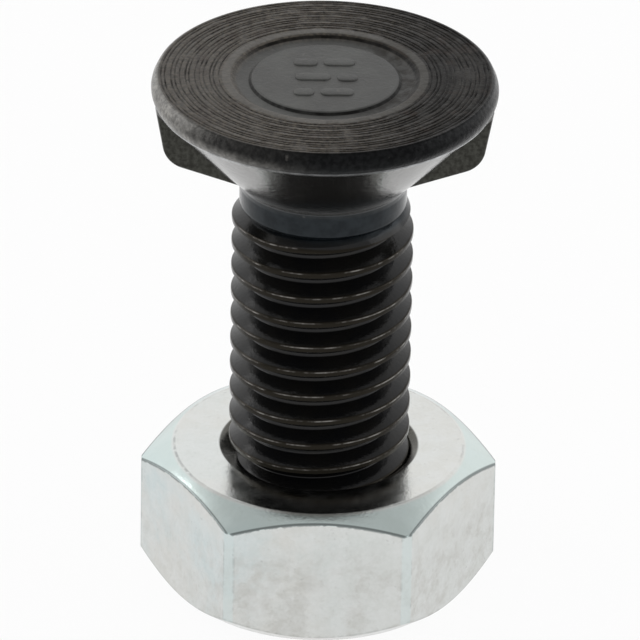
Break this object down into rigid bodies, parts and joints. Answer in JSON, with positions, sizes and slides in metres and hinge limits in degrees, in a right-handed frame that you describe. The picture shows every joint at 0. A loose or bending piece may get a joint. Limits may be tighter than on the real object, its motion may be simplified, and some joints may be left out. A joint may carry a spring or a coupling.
{
  "type": "plow bolt",
  "caption": "Countersunk round-head plow bolt with two anti-turn nibs under the head and a coarse metric thread, standing on its hex nut; clamps wearing blades to a frame flush.",
  "frame": {"origin": "centre of the nut's lower face, which the part stands on", "axes": "+Z along the bolt's axis from the nut to the head; the two nibs lie along X; two of the nut's flats face along Y"},
  "size_m": [0.0194, 0.0186, 0.0305],
  "materials": {
    "black_steel": "forged steel, quenched and oiled black, thin film of oil",
    "zinc_steel": "bright zinc plate with a faint blue passivation"
  },
  "bodies": {
    "bolt": {"plow_bolt": "black_steel"},
    "nut": {"hex_nut": "zinc_steel"}
  },
  "joints": [
    {"name": "nut_travel", "type": "slide", "parent": "bolt", "child": "nut", "axis": [0, 0, 1], "range_m": [-0.009, 0.012]}
  ]
}
